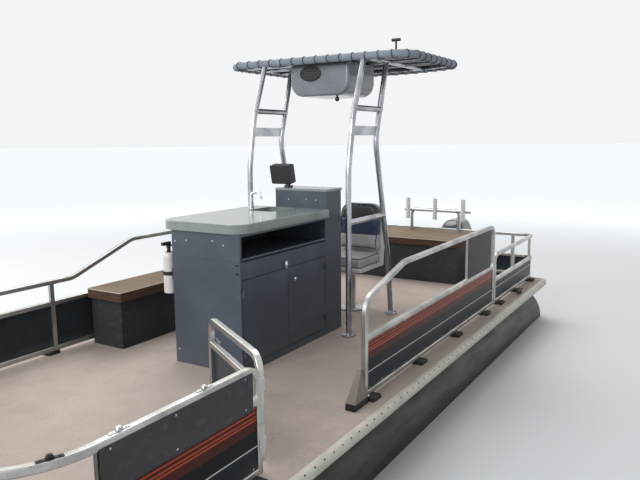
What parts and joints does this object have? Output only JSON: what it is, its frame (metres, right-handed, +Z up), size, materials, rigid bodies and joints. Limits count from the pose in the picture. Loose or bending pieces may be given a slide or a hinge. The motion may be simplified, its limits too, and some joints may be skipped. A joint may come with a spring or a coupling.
{
  "type": "pontoon boat",
  "caption": "Open deck boat on two aluminium tubes, with railed fences, gates, helm console and cabinet, a fixed canopy top and an outboard motor.",
  "frame": {"origin": "amidships on the centreline at the waterline, at the height of the tubes' axes", "axes": "+X forward to the bow, +Y to port, +Z up"},
  "size_m": [7.628, 2.59, 3.2474],
  "materials": {
    "tube_metal": "weathered, streaked",
    "deck_covering": "worn textured",
    "edge_vinyl": "weathered satin",
    "rail_metal": "brushed, dulled",
    "panel_paint": "satin with coloured stripes",
    "board_plastic": "satin",
    "foot_rubber": "matte",
    "wedge_paint": "worn satin",
    "bench_carpet": "short pile",
    "bench_board": "matte",
    "cabinet_board": "satin",
    "counter_gelcoat": "moulded gloss",
    "bright_chrome": "polished",
    "black_plastic": "satin",
    "white_paint": "gloss",
    "top_tube": "anodised",
    "canvas_cloth": "woven",
    "box_gelcoat": "moulded gloss",
    "white_plastic": "moulded",
    "fitting_metal": "satin",
    "cleat_metal": "dull",
    "seat_vinyl": "vinyl",
    "motor_paint": "gloss",
    "engine_metal": "cast",
    "propeller_metal": "painted cast"
  },
  "bodies": {
    "hull": {"box_speaker": "black_plastic", "cabinet": "cabinet_board", "canopy_canvas": "canvas_cloth", "canopy_frame": "top_tube", "chart_display": "black_plastic", "cleats": "cleat_metal", "console_top": "counter_gelcoat", "counter": "counter_gelcoat", "cross_channels": "tube_metal", "deck": "deck_covering", "dome_light": "black_plastic", "edge_trim": "edge_vinyl", "electronics_box": "box_gelcoat", "extinguisher": "white_paint", "extinguisher_bracket": "black_plastic", "faucet": "bright_chrome", "fence_aft_port": "rail_metal", "fence_bow_port": "rail_metal", "fence_feet": "foot_rubber", "fence_starboard": "rail_metal", "fence_stern": "rail_metal", "helm_base": "black_plastic", "helm_console": "cabinet_board", "mast_light": "black_plastic", "motor_pod": "tube_metal", "number_boards": "board_plastic", "panels_bow": "panel_paint", "panels_port": "panel_paint", "panels_starboard": "panel_paint", "panels_stern": "panel_paint", "pontoon_port": "tube_metal", "pontoon_starboard": "tube_metal", "post_wedge": "wedge_paint", "rail_sockets": "fitting_metal", "rod_rack": "top_tube", "rod_tubes": "white_plastic", "seat_pedestal": "fitting_metal", "starboard_bench_box": "bench_board", "starboard_bench_top": "bench_carpet", "stern_bench_box": "bench_board", "stern_bench_top": "bench_carpet", "throttle": "black_plastic", "top_legs_port": "top_tube", "top_legs_starboard": "top_tube", "transom_bracket": "motor_paint"},
    "port_gate": {"port_gate_frame": "rail_metal", "port_gate_panel": "panel_paint"},
    "bow_gate": {"bow_gate_frame": "rail_metal", "bow_gate_panel": "panel_paint"},
    "door_fore": {"cabinet_door_fore": "cabinet_board"},
    "door_aft": {"cabinet_door_aft": "cabinet_board"},
    "helm_seat": {"seat_shell": "white_plastic", "seat_cushion": "seat_vinyl", "seat_back": "seat_vinyl"},
    "helm_wheel": {"steering_wheel": "black_plastic"},
    "motor_tilting": {"swivel_bracket": "motor_paint"},
    "motor_steering": {"motor_leg": "motor_paint", "motor_cowl": "motor_paint", "engine_block": "engine_metal"},
    "propeller": {"propeller": "propeller_metal"}
  },
  "joints": [
    {"name": "motor_tilt", "type": "hinge", "parent": "hull", "child": "motor_tilting", "pos_m": [-3.664, 0, 0.378], "axis": [0, 1, 0], "range_deg": [0, 65]},
    {"name": "motor_steer", "type": "hinge", "parent": "motor_tilting", "child": "motor_steering", "pos_m": [-3.78, 0, 0.2], "axis": [0, 0, 1], "range_deg": [-30, 30]},
    {"name": "propeller_spin", "type": "hinge", "parent": "motor_steering", "child": "propeller", "pos_m": [-4.131, 0, -0.36], "axis": [1, 0, 0], "continuous": true},
    {"name": "helm_turn", "type": "hinge", "parent": "hull", "child": "helm_wheel", "pos_m": [-0.57, 0.06, 1.22], "axis": [-0.9272, 0, 0.3746], "range_deg": [-540, 540]},
    {"name": "port_gate_swing", "type": "hinge", "parent": "hull", "child": "port_gate", "pos_m": [1.638, 1.107, 0.9], "axis": [0, 0, 1], "range_deg": [-58, 52]},
    {"name": "bow_gate_swing", "type": "hinge", "parent": "hull", "child": "bow_gate", "pos_m": [2.876, 0.364, 0.9], "axis": [0, 0, -1], "range_deg": [0, 100]},
    {"name": "door_fore_swing", "type": "hinge", "parent": "hull", "child": "door_fore", "pos_m": [0.682, 0.292, 0.8], "axis": [0, 0, -1], "range_deg": [0, 105]},
    {"name": "door_aft_swing", "type": "hinge", "parent": "hull", "child": "door_aft", "pos_m": [-0.322, 0.292, 0.8], "axis": [0, 0, 1], "range_deg": [0, 95]},
    {"name": "seat_swivel", "type": "hinge", "parent": "hull", "child": "helm_seat", "pos_m": [-1.11, 0.075, 0.8], "axis": [0, 0, 1], "continuous": true}
  ],
  "couplings": [
    {"joint": "helm_turn", "follows": "motor_steer", "ratio": -18}
  ]
}
